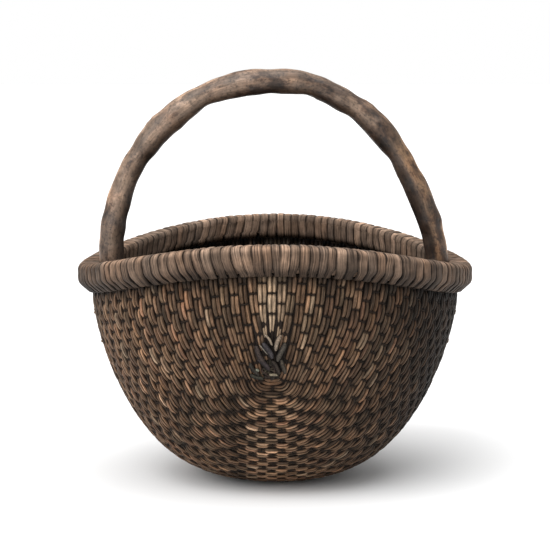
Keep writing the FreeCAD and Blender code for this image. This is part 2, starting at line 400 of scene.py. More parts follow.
def ramp(tree, source, stops):
    """A colour ramp over a source socket; stops are (position, grey or colour)."""
    made = node(tree, "ShaderNodeValToRGB")
    elements = made.color_ramp.elements
    while len(elements) < len(stops):
        elements.new(0.5)
    for element, (position, value) in zip(elements, stops):
        element.position = position
        grey = isinstance(value, (int, float))
        element.color = (value, value, value, 1) if grey else (*value, 1)
    tree.links.new(source, made.inputs["Fac"])
    return made.outputs["Color"]


def noise(tree, vector, scale, detail=4.0, roughness=0.55, stretch=(1, 1, 1)):
    """Noise over a vector socket, stretched by scaling that vector first."""
    mapping = node(tree, "ShaderNodeMapping")
    mapping.inputs["Scale"].default_value = stretch
    tree.links.new(vector, mapping.inputs["Vector"])
    made = node(tree, "ShaderNodeTexNoise")
    made.inputs["Scale"].default_value = scale
    made.inputs["Detail"].default_value = detail
    made.inputs["Roughness"].default_value = roughness
    tree.links.new(mapping.outputs["Vector"], made.inputs["Vector"])
    return made.outputs["Fac"]


def multiply(tree, first, second):
    mix = node(tree, "ShaderNodeMix", data_type="RGBA", blend_type="MULTIPLY")
    mix.inputs["Factor"].default_value = 1.0
    tree.links.new(first, mix.inputs["A"])
    tree.links.new(second, mix.inputs["B"])
    return mix.outputs["Result"]


PLAIN_MOTTLE = [(0.3, 0.72), (0.55, 1.0), (0.8, 1.2)]
PITTED_MOTTLE = [(0.36, 0.45), (0.46, 1.0), (0.7, 1.2)]
PATCHES = [(0.3, (0.78, 0.8, 0.8)), (0.5, (1.0, 1.0, 1.0)), (0.75, (1.18, 1.08, 0.98))]
SCABS = [
    (0.4, (0.24, 0.19, 0.16)),
    (0.44, (0.55, 0.48, 0.43)),
    (0.5, (0.95, 0.92, 0.89)),
    (0.62, (1.4, 1.4, 1.38)),
]


def bump_layer(tree, height, strength, distance, below=None):
    """A bump from a height socket, laid over the normals of another bump."""
    bump = node(tree, "ShaderNodeBump")
    bump.inputs["Strength"].default_value = strength
    bump.inputs["Distance"].default_value = distance
    tree.links.new(height, bump.inputs["Height"])
    if below:
        tree.links.new(below, bump.inputs["Normal"])
    return bump.outputs["Normal"]


def fibre_material(
    name, grain_scale, stretch, mottle_scale, rough, depth, specular, streak=(0.35, 1.7), bark=False
):
    """Old wood or fibre: the mesh's own tint, streaked along the grain and mottled, with matching bump."""
    material, tree, shader = make_material(name)
    tint = node(tree, "ShaderNodeAttribute", attribute_name="tint")
    grain = node(tree, "ShaderNodeAttribute", attribute_name="grain")
    place = node(tree, "ShaderNodeTexCoord")
    streaks = noise(tree, grain.outputs["Vector"], grain_scale, 5.0, 0.6, stretch)
    mottle = noise(tree, place.outputs["Object"], mottle_scale, 4.0, 0.6)
    patches = noise(tree, place.outputs["Object"], mottle_scale / 7, 3.0, 0.5)
    streak_stops = [(0.36, streak[0]), (0.5, 0.95), (0.64, streak[1])]
    colour = multiply(tree, tint.outputs["Color"], ramp(tree, streaks, streak_stops))
    colour = multiply(tree, colour, ramp(tree, mottle, PITTED_MOTTLE if bark else PLAIN_MOTTLE))
    colour = multiply(tree, colour, ramp(tree, patches, PATCHES))
    if bark:
        scabs = noise(tree, grain.outputs["Vector"], 48.0, 10.0, 0.7, (1.0, 0.55, 1.0))
        colour = multiply(tree, colour, ramp(tree, scabs, SCABS))
    tree.links.new(colour, shader.inputs["Base Color"])
    roughness = ramp(tree, streaks, [(0.2, min(1.0, rough + 0.18)), (0.8, rough - 0.12)])
    tree.links.new(roughness, shader.inputs["Roughness"])
    shader.inputs["Specular IOR Level"].default_value = specular
    coarse = bump_layer(tree, streaks, 1.0, depth)
    tree.links.new(bump_layer(tree, mottle, 0.6, depth / 2, coarse), shader.inputs["Normal"])
    return material


# ---- weave
def order_share(order):
    """A pair's place between the middle line, 0, and the side, 1. The middle column takes half a place."""
    return (order + 1.0) / (PAIRS + 0.5)


STOPPED_SHARE = order_share(STOPPED - 0.5)


def rim_share(w):
    return w * (1.1 - 0.1 * w)


def past_knot(w):
    return np.clip((w - STOPPED_SHARE) / (1.0 - STOPPED_SHARE), 0.0, 1.0)


def pole_share(w):
    """Where the pair of order w passes the pole's level, as a share of the way to the side."""
    if w < STOPPED_SHARE:
        return 0.6 * KNOT_SHARE * max(0.0, w / STOPPED_SHARE - 0.4)
    u = past_knot(w)
    return KNOT_SHARE + (1.0 - KNOT_SHARE) * u * (1.0 - 0.24 * (1.0 - u) ** 2)


def bottom_share(w):
    """How far below the pole that pair turns, as a share of the way to the middle of the base."""
    u = past_knot(w)
    return KNOT_SHARE + (1.0 - KNOT_SHARE) * u * (1.1 - 0.1 * u)


def squareness(w, theta):
    """How far a turn round the pole swells out at its lower corners. Straight below the pole it is flat."""
    drop = np.maximum(np.abs(np.sin(theta)), 1e-6)
    beside = np.abs(np.cos(theta))
    flat = min(0.75, FLAT_HALF / (bottom_share(w) * FACE_DEPTH))
    full_depth = (1.0 - flat**TURN_POWER) ** (-1.0 / TURN_POWER)
    swell = (beside**TURN_POWER + (drop / full_depth) ** TURN_POWER) ** (-1.0 / TURN_POWER)
    corner = np.minimum(swell, 1.0 / drop) - 1.0
    return 1.0 + corner * (1.0 - past_knot(w)) ** 0.5


def descent(bowl, w, side, lowest=0.0):
    """The line of the pair of order w from the rim down to the pole's level, on one side."""
    climb = np.linspace(1.0, lowest, 160)
    lean = 2.0 + 1.2 * max(0.0, 1.0 - w / STOPPED_SHARE)
    share = rim_share(w) + (pole_share(w) - rim_share(w)) * (1.0 - climb) ** lean
    return bowl.above(climb, share, side)


def turning_route(bowl, w):
    """The line of a pair that runs from the rim down one side, round the pole and up the other."""
    theta = np.linspace(0.0, math.pi, 400)
    nearer = np.minimum(theta, math.pi - theta)
    lean = LEAN_TURN * LEAN_RATE * (rim_share(w) - pole_share(w))
    share = pole_share(w) + (bottom_share(w) - pole_share(w)) * np.sin(theta) ** 2
    share = share * squareness(w, theta) * (1.0 - lean * (1.0 - np.exp(-nearer / LEAN_TURN)))
    under = bowl.around(theta, np.minimum(share, 1.0))
    return np.concatenate([descent(bowl, w, -1)[:-1], under, descent(bowl, w, 1)[::-1][1:]])


class Pair:
    """A line of paired rods: its path, its side directions, its width and its turns, two for each bulge."""

    def __init__(self, bowl, middle, inner, outer):
        edge = unit(np.cross(bowl.normal(middle), np.gradient(middle, axis=0)))
        width = np.abs(np.sum((outer - inner) * edge, axis=1))
        self.run, (path, width) = resample(middle, STEP, width)
        self.path = relax(path, 8)
        self.width = np.clip(relax(width[:, None], 8)[:, 0], *PAIR_WIDTHS)
        self.tangent = tangents(self.path)
        self.across = unit(np.cross(bowl.normal(self.path), self.tangent))
        self.normal = unit(np.cross(self.tangent, self.across))
        below = smooth_step((POLE_Z - 2 * MM - self.path[:, 2]) / (45 * MM))
        central = smooth_step((60 * MM - np.abs(self.path[:, 0] - POLE_X)) / (35 * MM))
        self.low = below * (0.45 + 0.55 * central)

    def swing(self):
        """How far the rods stand out from the wall's middle, as a share of the full bulge."""
        wave = np.cos(math.pi * self.turns)
        long_bulge = np.tanh(2.4 * (wave + 0.5))
        even_step = np.tanh(4.0 * wave)
        return long_bulge + (even_step - long_bulge) * self.low


def rows_from_rim(distance, x):
    """Cord rows counted down from the rim's edge, a little lower at the sides."""
    drop = ROW_DROP * smooth_step(abs(x - POLE_X) / 0.18)
    return (distance - drop) / CORD_PITCH + FIRST_ROW


def rows_down(run, x, lowest):
    """Rows by distance from the rim's edge at x, stretched so that an even row lies at the lowest point."""
    rows = rows_from_rim(run, x)
    goal = 2 * round(rows[lowest] / 2)
    rows += (goal - rows[lowest]) * smooth_step((run / run[lowest] - 0.3) / 0.7)
    return rows, goal


def turning_pair(bowl, order):
    """A pair that turns round the pole. Its rows, counted from each end, meet under the pole."""
    routes = [turning_route(bowl, order_share(o)) for o in (order, order - 0.5, order + 0.5)]
    pair = Pair(bowl, *routes)
    lowest = int(np.argmin(pair.path[:, 2] + 10 * np.abs(pair.path[:, 0] - POLE_X)))
    left, left_goal = rows_down(pair.run, pair.path[0, 0], lowest)
    right, right_goal = rows_down(pair.run[-1] - pair.run, pair.path[-1, 0], lowest)
    onward = left_goal + right_goal + 2 * order - (right + order)
    pair.turns = np.where(np.arange(len(pair.run)) < lowest, left + order, onward)
    return pair


def stopped_pair(bowl, order, side):
    """A pair that ends at the knot: order -1 is the middle column."""
    lowest = STOPPED_CLIMBS[order + 1]
    shares = [max(order_share(o), 0.0) for o in (order, order - 0.5, order + 0.5)]
    routes = [descent(bowl, share, side, lowest) for share in shares]
    if order < 0:
        routes[1] = descent(bowl, order_share(-0.5), -side, lowest)
    pair = Pair(bowl, *routes)
    pair.turns = rows_from_rim(pair.run, pair.path[0, 0]) + order
    taper = smooth_step((pair.run[-1] - pair.run) / 0.03)
    pair.width = pair.width * (0.55 + 0.45 * taper)
    return pair


def groove_shade(angle, side=1):
    """Painted shade in the grooves beside a rod and a painted highlight along its crest, by the angle round
    it; most of the shade on the side given.
    """
    crest = np.abs(np.sin(angle)) ** 2.6
    floor = np.where(np.cos(angle) * side > 0.0, 0.06, 0.2)
    return floor + (1.3 - floor) * crest


def painted_side_shade(x):
    """Painted shade: the basket is darker towards the side away from the key light."""
    broad = smooth_step((x - 10 * MM) / (150 * MM))
    edge = smooth_step((x - 105 * MM) / (75 * MM))
    return 1.0 - 0.62 * broad - 0.24 * edge


def marks_round_knot(x, z):
    """Darker beside the knot and in a band below it, and paler rods straight below it, partly from wear and
    partly painted light.
    """
    away = np.hypot(x - (POLE_X - 9 * MM), z - (POLE_Z - 7 * MM)) / (21 * MM)
    below = smooth_step((POLE_Z - 20 * MM - z) / (25 * MM))
    band = np.exp(-(((x + 40 * MM) / (11 * MM)) ** 2))
    wear_and_highlight = np.exp(-(((x - POLE_X) / (24 * MM)) ** 2))
    return (1.0 - 0.6 * np.exp(-(away**2))) * (1.0 + below * (1.1 * wear_and_highlight - 0.42 * band))


def rod_tones(rng, pair, paleness):
    """A rod's colour and brightness along it. Each length between cords has its own; a few are bleached."""
    tone = ROD_COLOURS[rng.integers(len(ROD_COLOURS))] * rng.uniform(0.82, 1.15)
    length = np.floor((pair.turns + 1.0) / 2.0).astype(int)
    length -= length.min()
    count = length.max() + 1
    own = np.array(ROD_COLOURS)[rng.integers(len(ROD_COLOURS), size=count)]
    level = np.exp(0.36 * rng.standard_normal(count)) * 0.79
    bleached = paleness * rng.uniform(0.75, 1.0) + 0.35 * (rng.random(count) < 0.03)
    bleached = np.clip(bleached, 0.0, 1.0)[:, None]
    colours = (0.45 * tone + 0.55 * own) * level[:, None]
    colours = colours * (1.0 - bleached) + ROD_PALE * bleached
    return colours[length], level[length]


def rod_line(rng, pair, side, shared):
    """The middle line and the radius of the rod on one side of a pair."""
    s = pair.run
    size = rng.uniform(0.99, 1.06)
    strength = BULGE * (1.0 + 0.12 * Wander(rng, 60e-3)(s))
    swing = pair.swing() * strength + 0.15 * MM * Wander(rng, 30e-3)(s)
    lateral = side * pair.width * 0.238 + shared + 0.05 * MM * Wander(rng, 35e-3)(s)
    path = pair.path + pair.normal * swing[:, None] + pair.across * lateral[:, None]
    radius = np.clip(pair.width * 0.25, *ROD_RADII) * size * (1.0 + 0.02 * Wander(rng, 25e-3)(s))
    return path, radius


def rod_shade(rng, pair, path, spin):
    """Painted shade along a rod: in the creases at the cords, under the rim and towards one side. It is also
    darker beside the knot and paler below it.
    """
    rise = np.cos(math.pi * pair.turns)
    narrow = smooth_step((rise + 1.0) / 0.4)
    wide = smooth_step((rise + 0.3) / 0.6)
    crease = narrow * (1.0 - pair.low) + wide * pair.low
    shade = (0.15 + 0.85 * crease) * (1.0 + 0.1 * Wander(rng, 40e-3)(pair.run))
    # painted shade towards one side, times the darker and paler marks round the knot
    shade = shade * painted_side_shade(path[:, 0] * spin[0]) * marks_round_knot(path[:, 0], path[:, 2])
    under_rim = rim_arc_z(path[:, 0]) - path[:, 2]
    return shade * (0.16 + 0.84 * smooth_step((under_rim - RIM_SHADOW[0]) / RIM_SHADOW[1]))


def build_rods(name, pairs, turned, seed, material):
    """The rods of some pairs as one piece. turned rods are those of the basket's back."""
    rng = np.random.default_rng(seed)
    builder = MeshBuilder()
    spin = SPINS[turned]
    angle = round_angles(ROD_SIDES)
    crest = np.abs(np.sin(angle))[None, :, None] ** 6
    for pair, paleness in pairs:
        shared = 0.25 * MM * Wander(rng, 45e-3)(pair.run)
        for side in (-1, 1):
            tone, level = rod_tones(rng, pair, paleness)
            path, radius = rod_line(rng, pair, side, shared)
            tangent = tangents(path)
            up = unit(pair.normal - tangent * np.sum(pair.normal * tangent, axis=1, keepdims=True))
            points = tube_points(path, up, np.cross(up, tangent), radius, ROD_SIDES) * spin
            shade = rod_shade(rng, pair, path, spin)
            # painted shade along the rod and in its grooves, a painted highlight with the wear along its
            # crest, and painted shade on its faces inside the basket
            colours = tone[:, None, :] * shade[:, None, None] * groove_shade(angle, side)[None, :, None]
            colours += CREST_WEAR_AND_HIGHLIGHT * (level * shade)[:, None, None] * crest
            colours[:, np.sin(angle) < -0.1] *= INSIDE_SHADE
            grains = tube_grain(angle, 2.5 * MM, rng.uniform(0, GRAIN_SPREAD), pair.run)
            builder.add(points, tube_quads(len(path), ROD_SIDES), colours, grains)
    builder.build(name, material, ["woven_bowl"])


def build_fillers(bowl, name, turned, seed, material):
    """The thin dark strands that lie in the groove between neighbouring pairs: painted shade in those
    grooves.
    """
    rng = np.random.default_rng(seed)
    builder = MeshBuilder()
    angle = round_angles(FILLER_SIDES)
    routes = [turning_route(bowl, order_share(order - 0.5)) for order in range(STOPPED, PAIRS)]
    for order in range(STOPPED):
        routes += [descent(bowl, order_share(order - 0.5), side, 0.1) for side in (-1, 1)]
    for route in routes:
        run, (path,) = resample(route, 2.2 * MM)
        path = relax(path, 5)
        normal = bowl.normal(path)
        across = unit(np.cross(normal, tangents(path)))
        path = path - normal * (0.2 * MM + 0.25 * MM * Wander(rng, 30e-3)(run))[:, None]
        radius = np.full(len(path), FILLER_RADIUS)
        points = tube_points(path, normal, across, radius, FILLER_SIDES) * SPINS[turned]
        grains = tube_grain(angle, MM, rng.uniform(0, GRAIN_SPREAD), run)
        colour = FILLER_SHADE_COLOUR * rng.uniform(0.7, 1.2)
        builder.add(points, tube_quads(len(path), FILLER_SIDES), colour, grains)
    builder.build(name, material, ["woven_bowl"])


def crossings(pair):
    """The cord rows that cross a pair: each row's number, the section it lies at and its place."""
    turns = pair.turns
    for i in range(len(turns) - 1):
        low, high = sorted((turns[i], turns[i + 1]))
        row = math.ceil(low)
        if row > high or high <= low:
            continue
        f = (row - turns[i]) / (turns[i + 1] - turns[i])
        yield row, i, pair.path[i] * (1 - f) + pair.path[i + 1] * f


def build_stitches(name, pairs, turned, seed, material):
    """The hemp cord, made where it crosses each pair: outside in the dips and inside behind the bulges."""
    rng = np.random.default_rng(seed)
    builder = MeshBuilder()
    angle = round_angles(CORD_SIDES)
    radius = np.full(CORD_SECTIONS, CORD_RADIUS)
    for pair, _ in pairs:
        for row, i, place in crossings(pair):
            width = pair.width[i]
            outward = 1.0 if row % 2 else -1.0
            lateral = np.linspace(-CORD_REACH, CORD_REACH, CORD_SECTIONS) * width
            rise = 1.0 - np.abs(lateral / (CORD_REACH * width)) ** 4
            crest = (width * 0.236 - 1.3 * BULGE + 0.45 * MM) * outward
            slip = pair.tangent[i] * 0.2 * MM * rng.standard_normal()
            path = place + pair.across[i] * lateral[:, None]
            path = path + pair.normal[i] * (crest * rise)[:, None] + slip
            tangent = tangents(path)
            sideways = unit(np.cross(tangent, np.broadcast_to(pair.tangent[i], tangent.shape)))
            forward = np.cross(sideways, tangent)
            points = tube_points(path, sideways, forward, radius, CORD_SIDES) * SPINS[turned]
            grains = tube_grain(angle, MM, rng.uniform(0, GRAIN_SPREAD), lateral)
            colour = CORD_COLOUR * rng.uniform(0.7, 1.15)
            builder.add(points, tube_quads(CORD_SECTIONS, CORD_SIDES), colour, grains)
    builder.build(name, material, ["woven_bowl"])


def strand(builder, path, radius, colour, sides, spin, rng):
    """One cord or rod end: a short tube along a path, thinner at its ends."""
    _, (path,) = resample(path, 1.2 * MM)
    path = relax(path, 2)
    tangent = tangents(path)
    side = unit(np.cross(tangent, np.broadcast_to([0.1, -1.0, 0.2], tangent.shape)))
    share = np.linspace(0.0, 1.0, len(path))
    thick = radius * (0.6 + 0.4 * smooth_step(np.minimum(share, 1 - share) / 0.2))
    angle = round_angles(sides)
    points = tube_points(path, np.cross(side, tangent), side, thick, sides) * spin
    # painted shade in the grooves and a painted highlight along the crest
    colours = colour * groove_shade(angle)[None, :, None] * np.ones((len(path), 1, 1))
    grains = tube_grain(angle, radius, rng.uniform(0, GRAIN_SPREAD), share * 20 * MM)
    builder.add(points, tube_quads(len(path), sides), colours, grains)


def on_face(bowl, x, z, stand):
    """A point of the front near the pole, by its place from the pole and how far it stands out."""
    height = POLE_Z + z
    share = fullness(height, bowl.inset)
    flat = abs((POLE_X + x) / (bowl.a * share)) ** PLAN_POWER
    point = np.array([POLE_X + x, -bowl.b * share * (1.0 - flat) ** (1.0 / PLAN_POWER), height])
    return point + bowl.normal(point) * stand


# The knot's layers from the inmost: number of strands, how far they stand out and radius, in millimetres
KNOT_LAYERS = ((11, -1.8, 2.3), (12, 0.6, 1.7), (9, 2.2, 1.2))


def tangle_path(bowl, layer, i, rng):
    """The line of one strand of the tangle, across the knot."""
    count, stand, _ = KNOT_LAYERS[layer]
    turn = math.pi * (i + 0.5 * rng.random()) / count + 0.6 * layer
    reach = (15.5 - 2.5 * layer) * MM * rng.uniform(0.8, 1.1)
    offset = rng.uniform(-1, 1) * 7 * MM
    middle = np.array([-1.5 * MM + offset * -math.sin(turn), offset * math.cos(turn) - 1.0 * MM])
    along = np.array([math.cos(turn), math.sin(turn) * 1.25])
    steps = []
    for u in np.linspace(-1, 1, 7):
        x, z = middle + along * u * reach
        x += 2.0 * MM * math.sin(2.2 * u + i)
        steps.append(on_face(bowl, x, z, (stand - 1.6 * u * u) * MM))
    return np.array(steps)


def backing_path(bowl, x):
    """The line of a dark strand behind the ends of the stopped rods, painted shade where the wall would be
    open.
    """
    shares = np.linspace(0.0, 1.0, 9)
    return np.array([on_face(bowl, x * (0.5 + 0.5 * u) * MM, 62.0 * u * MM, -1.1 * MM) for u in shares])


def end_path(bowl, x0, z0, x1, z1):
    """The line of a rod or cord end on the knot, from one place in millimetres from the pole to another."""
    steps = []
    for u in np.linspace(0.0, 1.0, 6):
        x = x0 + (x1 - x0) * u + 0.7 * math.sin(5.0 * u + x0)
        z = z0 + (z1 - z0) * u + 0.7 * math.sin(4.0 * u + z0)
        steps.append(on_face(bowl, x * MM, z * MM, 3.4 * MM))
    return np.array(steps)


def build_knot(bowl, name, turned, seed, material):
    """The tangle of cord and rod ends that the rods turn round."""
    rng = np.random.default_rng(seed)
    builder = MeshBuilder()
    spin = SPINS[turned]
    for layer, (count, _, thick) in enumerate(KNOT_LAYERS):
        for i in range(count):
            path = tangle_path(bowl, layer, i, rng)
            colour = KNOT_COLOURS[rng.integers(len(KNOT_COLOURS))] * rng.uniform(0.55, 1.1)
            strand(builder, path, thick * MM, colour, STRAND_SIDES, spin, rng)
    # dark backing strands behind the stopped rods' ends: painted shade
    for x in np.linspace(-25.0, 25.0, 11):
        strand(builder, backing_path(bowl, x), 2.8 * MM, FILLER_SHADE_COLOUR, STRAND_SIDES, spin, rng)
    for x0, z0, x1, z1, thick, colour in KNOT_ENDS:
        strand(builder, end_path(bowl, x0, z0, x1, z1), thick * MM, colour, END_SIDES, spin, rng)
    builder.build(name, material, ["woven_bowl"])


# Rod and cord ends that lie on the knot: from (x, z) to (x, z) in millimetres from the pole, radius, colour
KNOT_ENDS = [
    (12.9, 31.0, 6.0, 12.0, 2.9, linear(66, 60, 53)),
    (-16.5, 27.0, -8.5, 10.0, 2.9, linear(58, 49, 45)),
    (-8.5, 31.0, 0.0, 15.0, 2.9, linear(62, 57, 58)),
    (-13.5, 13.0, -2.0, 3.0, 2.6, linear(52, 45, 45)),
    (-22.0, 9.0, -14.0, -4.0, 2.2, linear(48, 44, 38)),
    (-21.0, -3.0, -9.0, -8.0, 2.2, linear(50, 48, 40)),
    (9.5, 13.0, 12.5, -1.0, 2.4, linear(62, 55, 47)),
    (0.0, 12.0, 8.0, -1.0, 2.2, linear(52, 44, 38)),
    (-6.9, 38.5, 0.8, 29.0, 1.5, linear(132, 118, 102)),
    (8.2, 38.5, 3.2, 23.5, 2.5, linear(124, 110, 96)),
    (-12.6, 28.5, -3.6, 18.0, 0.8, linear(138, 128, 116)),
    (-16.0, 3.5, -13.5, 0.5, 1.7, linear(112, 112, 98)),
    (-2.5, -2.0, 5.0, -4.2, 1.7, linear(116, 108, 92)),
]


def build_weave():
    bowl = Bowl(WALL / 2)
    rng = np.random.default_rng(11)
    rods = fibre_material("willow_rod", 900.0, (1.0, 0.07, 1.0), 260.0, 0.5, 0.35 * MM, 0.12)
    hemp = fibre_material("hemp_cord", 1500.0, (1.0, 0.5, 1.0), 400.0, 0.85, 0.2 * MM, 0.2)
    stopped = [(stopped_pair(bowl, -1, 1), 0.85)]
    for order in range(STOPPED):
        for side in (-1, 1):
            paleness = (0.62 if side < 0 else 0.42) if order == 0 else 0.05
            stopped.append((stopped_pair(bowl, order, side), paleness))
    turning = [(turning_pair(bowl, order), rng.uniform(0, 0.06)) for order in range(STOPPED, PAIRS)]
    for face, turned in (("front", False), ("back", True)):
        groups = (stopped, turning[:7], turning[7:14], turning[14:21], turning[21:])
        for number, pairs in enumerate(groups):
            build_rods(f"willow_rods_{face}_{number}", pairs, turned, 100 + number + 10 * turned, rods)
        build_stitches(f"weaving_cord_{face}", stopped + turning, turned, 200 + turned, hemp)
        build_fillers(bowl, f"groove_shadow_strands_{face}", turned, 250 + turned, rods)
        build_knot(bowl, f"cord_knot_{face}", turned, 300 + turned, hemp)


# ---- rim
# The rim core's outline: corners outward from the wall and up from the top line, and radius, in millimetres
ENVELOPE = [(-6.7, -1.3, 4.5), (17.0, -1.3, 6.0), (17.0, -19.5, 7.0), (5.5, -30.0, 2.5), (-6.7, -23.0, 2.0)]
BINDING = 1.3 * MM
BINDING_COLOURS = palette(
    (103, 84, 70), (93, 77, 65), (116, 96, 81), (84, 69, 58), (100, 81, 67), (91, 76, 65)
)
TURNS = 132
WRAP_AROUND = 60
WRAP_ACROSS = 9


def section_line(corners, count):
    """Evenly spaced points round a rounded outline, from corners (n, h, radius) in millimetres."""
    corners = [(n * MM, h * MM, r * MM) for n, h, r in corners]
    line = []
    for i, (n, h, radius) in enumerate(corners):
        here = np.array([n, h])
        back = unit(np.array(corners[i - 1][:2]) - here)
        on = unit(np.array(corners[(i + 1) % len(corners)][:2]) - here)
        half = math.acos(float(np.clip(back @ on, -1, 1))) / 2
        centre = here + unit(back + on) * radius / math.sin(half)
        start = here + back * radius / math.tan(half) - centre
        end = here + on * radius / math.tan(half) - centre
        a0 = math.atan2(start[1], start[0])
        a1 = math.atan2(end[1], end[0])
        sweep = (a1 - a0 + math.pi) % (2 * math.pi) - math.pi
        for a in np.linspace(a0, a0 + sweep, 12):
            line.append(centre + radius * np.array([math.cos(a), math.sin(a)]))
    line = np.array(line + line[:1])
    run = length_along(line)
    at = np.linspace(0, run[-1], count + 1)[:-1]
    points = interpolate(at, run, line)
    before = np.roll(points, 1, axis=0)
    after = np.roll(points, -1, axis=0)
    along = unit(after - before)
    outward = np.stack([-along[:, 1], along[:, 0]], axis=-1)
    if np.sum(outward * (points - points.mean(axis=0))) < 0:
        outward = -outward
    return points, outward


class RimLine:
    """The rim's top line over the middle of the wall, by length along it."""

    def __init__(self):
        a = BOWL_HALF_X - WALL / 2
        b = BOWL_HALF_Y - WALL / 2
        angle = np.linspace(0, 2 * math.pi, 6001)
        c, s = np.cos(angle), np.sin(angle)
        x = a * np.sign(c) * np.abs(c) ** (2 / PLAN_POWER)
        y = b * np.sign(s) * np.abs(s) ** (2 / PLAN_POWER)
        self.line = np.stack([x, y, rim_arc_z(x)], axis=-1)
        self.run = length_along(self.line)
        self.length = self.run[-1]
        along = unit(np.gradient(self.line[:, :2], axis=0))
        self.outward = np.stack([along[:, 1], -along[:, 0], np.zeros(len(along))], axis=-1)

    def at(self, s):
        s = np.mod(s, self.length)
        return interpolate(s, self.run, self.line), unit(interpolate(s, self.run, self.outward))


class Wrap:
    """One turn of split willow round the rim's core, as an outer face and two inner edges."""

    def __init__(self, rim):
        self.rim = rim
        self.section, self.outward = section_line(ENVELOPE, WRAP_AROUND)
        self.run = length_along(self.section)
        self.across = np.linspace(-0.5, 0.5, WRAP_ACROSS)
        n, h = self.section[:, 0], self.section[:, 1]
        outer_face = smooth_step((n - 2 * MM) / (8 * MM))
        fall = np.clip((-h - 3 * MM) / (27 * MM), 0, 1)
        self.slant = outer_face * fall**1.3 + (1 - outer_face) * np.where(h < -20 * MM, 1.0, fall) * 0.9
        self.taper = 1.0 - 0.18 * smooth_step((-h - 18 * MM) / (9 * MM)) * outer_face
        # painted highlight, with some wear, along the rim's top edge; painted shade down its lower part, at
        # each turn's edges where the turns meet, and on its inner edges
        wear_and_highlight = 1.0 + np.exp(-(((h + 2.5 * MM) / (2.2 * MM)) ** 2)) * (n > -4 * MM)
        low = 1.0 - 0.6 * smooth_step((-h - 13 * MM) / (14 * MM))
        self.shade_along = wear_and_highlight * low
        self.shade_across = np.concatenate([1.0 - 0.85 * np.abs(2 * self.across) ** 4.5, [0.5, 0.5]])

    def points(self, middle, width, place, rng):
        """The turn's vertices. Turns lean strongly towards one end of the basket."""
        leaning = smooth_step((20 * MM - place[0]) / (60 * MM))
        slant = (6.3 * leaning - 1.2 * (1 - leaning)) * MM + 0.7 * MM * rng.standard_normal()
        wobble = 0.35 * MM * Wander(rng, 30e-3)(self.run)
        tilt = 0.28 * MM * (1 if leaning > 0.5 else -1)
        lift = rng.uniform(0.0, 0.35) * MM
        groove = rng.uniform(0.0, 0.35) * MM
        groove_at = rng.uniform(-0.2, 0.2)
        sideways = self.across[None, :] * width * self.taper[:, None]
        point, out = self.rim.at(middle + self.slant[:, None] * slant + wobble[:, None] + sideways)
        crown = 0.85 * MM * (1 - np.abs(2 * self.across) ** 2.6) + tilt * self.across
        crown -= groove * np.exp(-(((self.across - groove_at) / 0.05) ** 2))
        uneven = 0.1 * MM * Wander(rng, 12e-3)(self.run)[:, None]
        high = BINDING - 0.4 * MM + lift + crown[None, :] + uneven
        top = self.section[:, None, :] + self.outward[:, None, :] * high[..., None]
        bottom = self.section[:, None, :] + self.outward[:, None, :] * 0.02 * MM
        outer = point + out * top[..., 0:1]
        outer[..., 2] += top[..., 1]
        edges = slice(None, None, WRAP_ACROSS - 1)
        inner = point[:, edges] + out[:, edges] * bottom[..., 0:1]
        inner[..., 2] += bottom[..., 1]
        return np.concatenate([outer, inner[:, ::-1]], axis=1)

    def colours(self, place, rng):
        """Darker at one end of the basket and paler along its back, times the painted highlight and shade
        along and across the turn.
        """
        tone = BINDING_COLOURS[rng.integers(len(BINDING_COLOURS))] * rng.uniform(0.84, 1.16)
        tone = tone * (1.0 - 0.45 * smooth_step((-place[0] - 150 * MM) / (60 * MM)))
        tone = tone * (1.0 + 0.45 * smooth_step(place[1] / (120 * MM)))
        along = self.shade_along * (1 + 0.1 * Wander(rng, 25e-3)(self.run))
        return tone * (self.shade_across[None, :] * along[:, None])[..., None]

    def grains(self, width, rng):
        grains = np.empty((len(self.run), WRAP_ACROSS + 2, 3))
        across = np.concatenate([self.across * width, [0.0, 0.0]])
        grains[..., 0] = across[None, :] + rng.uniform(0, GRAIN_SPREAD)
        grains[..., 1] = self.run[:, None]
        grains[..., 2] = 0.0
        return grains


def build_binding():
    """Each strip of split willow as its own piece of slightly slanted, overlapping turns."""
    rng = np.random.default_rng(31)
    rim = RimLine()
    wrap = Wrap(rim)
    material = fibre_material("split_willow", 820.0, (1.0, 0.03, 1.0), 180.0, 0.62, 0.5 * MM, 0.15)
    widths = 1.0 + 0.11 * rng.standard_normal(TURNS)
    edges = np.concatenate([[0.0], np.cumsum(widths)]) / np.sum(widths) * rim.length
    per_strip = TURNS // len(STRIP_NODES)
    for number, strip in enumerate(STRIP_NODES):
        builder = MeshBuilder()
        for k in range(number * per_strip, (number + 1) * per_strip):
            middle = (edges[k] + edges[k + 1]) / 2
            width = (edges[k + 1] - edges[k]) * 1.02
            place, _ = rim.at(np.array(middle))
            points = wrap.points(middle, width, place, rng)
            colours = wrap.colours(place, rng)
            quads = tube_quads(WRAP_AROUND, WRAP_ACROSS + 2, closed=True)
            builder.add(points, quads, colours, wrap.grains(width, rng))
        name = strip.replace("rim_binding", "willow_binding")
        builder.build(name, material, [strip])


# ---- handle
ARCH_CENTRE_Z = 218 * MM  # the point that the branch bends round
ARCH_PARTS = 180
BRANCH_RADIUS = 13 * MM
BRANCH_TAN = linear(124, 103, 87)
BRANCH_GOLD = linear(152, 119, 88)
BRANCH_DARK = linear(46, 33, 25)


def remeshed(source, name, voxel):
    """An object with a fine even mesh of a CAD node's shape."""
    piece = bpy.data.objects.new(name, source.data.copy())
    bpy.context.scene.collection.objects.link(piece)
    remesh = piece.modifiers.new("remesh", "REMESH")
    remesh.mode = "VOXEL"
    remesh.voxel_size = voxel
    remesh.use_smooth_shade = True
    graph = bpy.context.evaluated_depsgraph_get()
    fine = bpy.data.meshes.new_from_object(piece.evaluated_get(graph))
    piece.modifiers.clear()
    piece.data = fine
    return piece


def vertex_vectors(mesh, key):
    values = np.empty(len(mesh.vertices) * 3, dtype=np.float32)
    mesh.vertices.foreach_get(key, values)
    return values.reshape(-1, 3).astype(float)


